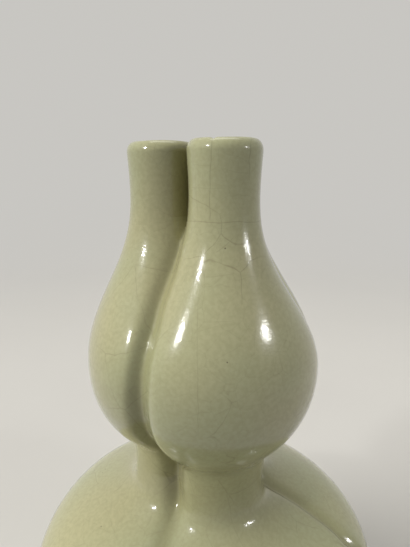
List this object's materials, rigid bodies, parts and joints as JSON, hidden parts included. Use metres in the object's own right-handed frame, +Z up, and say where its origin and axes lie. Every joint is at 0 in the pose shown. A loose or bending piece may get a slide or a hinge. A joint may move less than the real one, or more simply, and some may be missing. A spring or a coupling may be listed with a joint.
{
  "type": "double gourd vase",
  "caption": "Conjoined double gourd vase in crackled celadon glaze, its lobes grown together round one hollow that opens into straight necks.",
  "frame": {"origin": "on the vase's axis, in the plane that the foot ring stands on", "axes": "+Z up along the vase's axis; the front neck lies 65 degrees from +X towards -Y, and the left neck 175 degrees from +X towards +Y"},
  "size_m": [0.2545, 0.2564, 0.395],
  "materials": {
    "celadon_glaze": "gloss",
    "bare_clay": "matte"
  },
  "bodies": {
    "root": {"neck_front": "celadon_glaze", "neck_left": "celadon_glaze", "neck_back": "celadon_glaze", "upper_shoulder_front": "celadon_glaze", "upper_shoulder_left": "celadon_glaze", "upper_shoulder_back": "celadon_glaze", "upper_belly_front": "celadon_glaze", "upper_belly_left": "celadon_glaze", "upper_belly_back": "celadon_glaze", "waist_front": "celadon_glaze", "waist_left": "celadon_glaze", "waist_back": "celadon_glaze", "lower_shoulder_front": "celadon_glaze", "lower_shoulder_left": "celadon_glaze", "lower_shoulder_back": "celadon_glaze", "lower_belly_front": "celadon_glaze", "lower_belly_left": "celadon_glaze", "lower_belly_back": "celadon_glaze", "base_plate": "celadon_glaze", "foot_ring": "bare_clay"}
  },
  "joints": []
}
